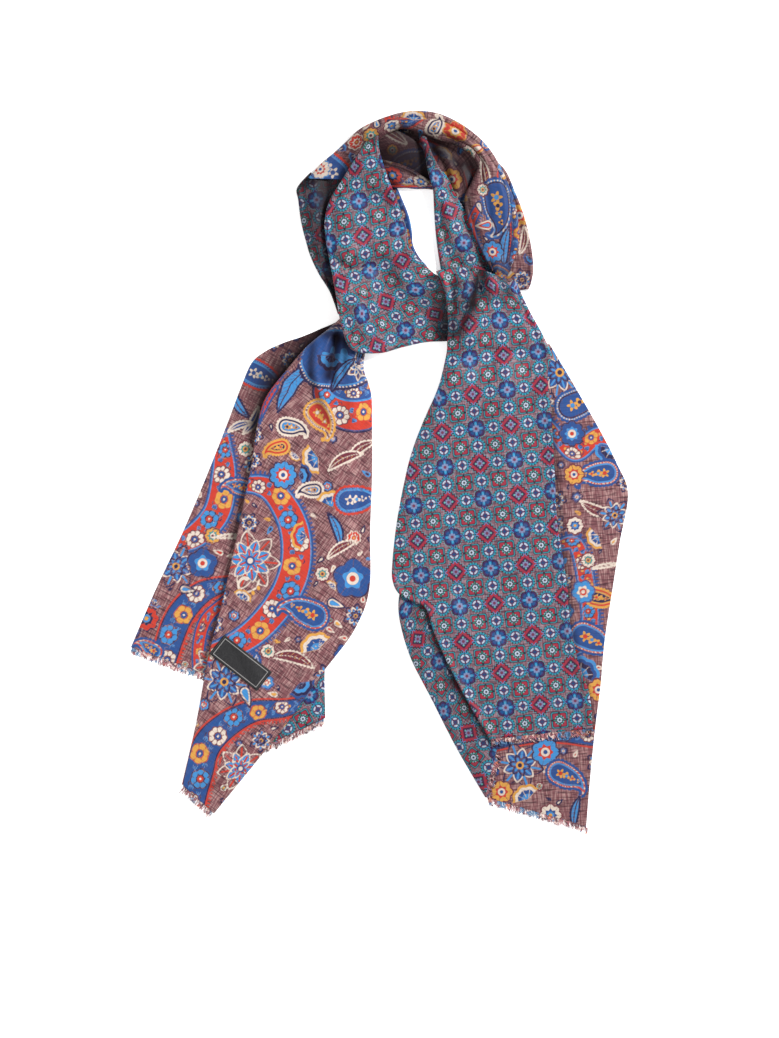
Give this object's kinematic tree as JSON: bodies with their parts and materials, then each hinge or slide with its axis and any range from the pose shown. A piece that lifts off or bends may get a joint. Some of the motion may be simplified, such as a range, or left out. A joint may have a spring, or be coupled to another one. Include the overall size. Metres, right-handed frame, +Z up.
{
  "type": "silk scarf",
  "caption": "Double-sided printed silk scarf with fringed ends, laid flat and looped once with its tails spread.",
  "frame": {"origin": "bottom centre of the laid scarf's box, on the surface it rests on", "axes": "+Z up from the surface, +Y from the fringed ends towards the neck loop, +X towards the right-hand tail as seen from above"},
  "size_m": [0.4866, 0.7109, 0.0368],
  "materials": {
    "silk_paisley": "satin sheen",
    "silk_foulard": "satin sheen",
    "fringe": "matte",
    "label": "satin sheen"
  },
  "bodies": {
    "root": {"left_tail": "silk_paisley", "right_tail_back": "silk_paisley", "right_tail_front": "silk_foulard", "neck_left_under": "silk_foulard", "neck_outer_right": "silk_paisley", "neck_front_under": "silk_paisley", "neck_inner": "silk_paisley", "neck_flap": "silk_paisley", "neck_inner_fold": "silk_paisley", "neck_right_strip": "silk_foulard", "neck_arch": "silk_paisley", "neck_front_band": "silk_foulard", "knot": "silk_foulard", "fringe_left_back": "fringe", "fringe_left_middle": "fringe", "fringe_left_front": "fringe", "fringe_right_back": "fringe", "fringe_right_pleat": "fringe", "fringe_right_front": "fringe", "label": "label"}
  },
  "joints": []
}
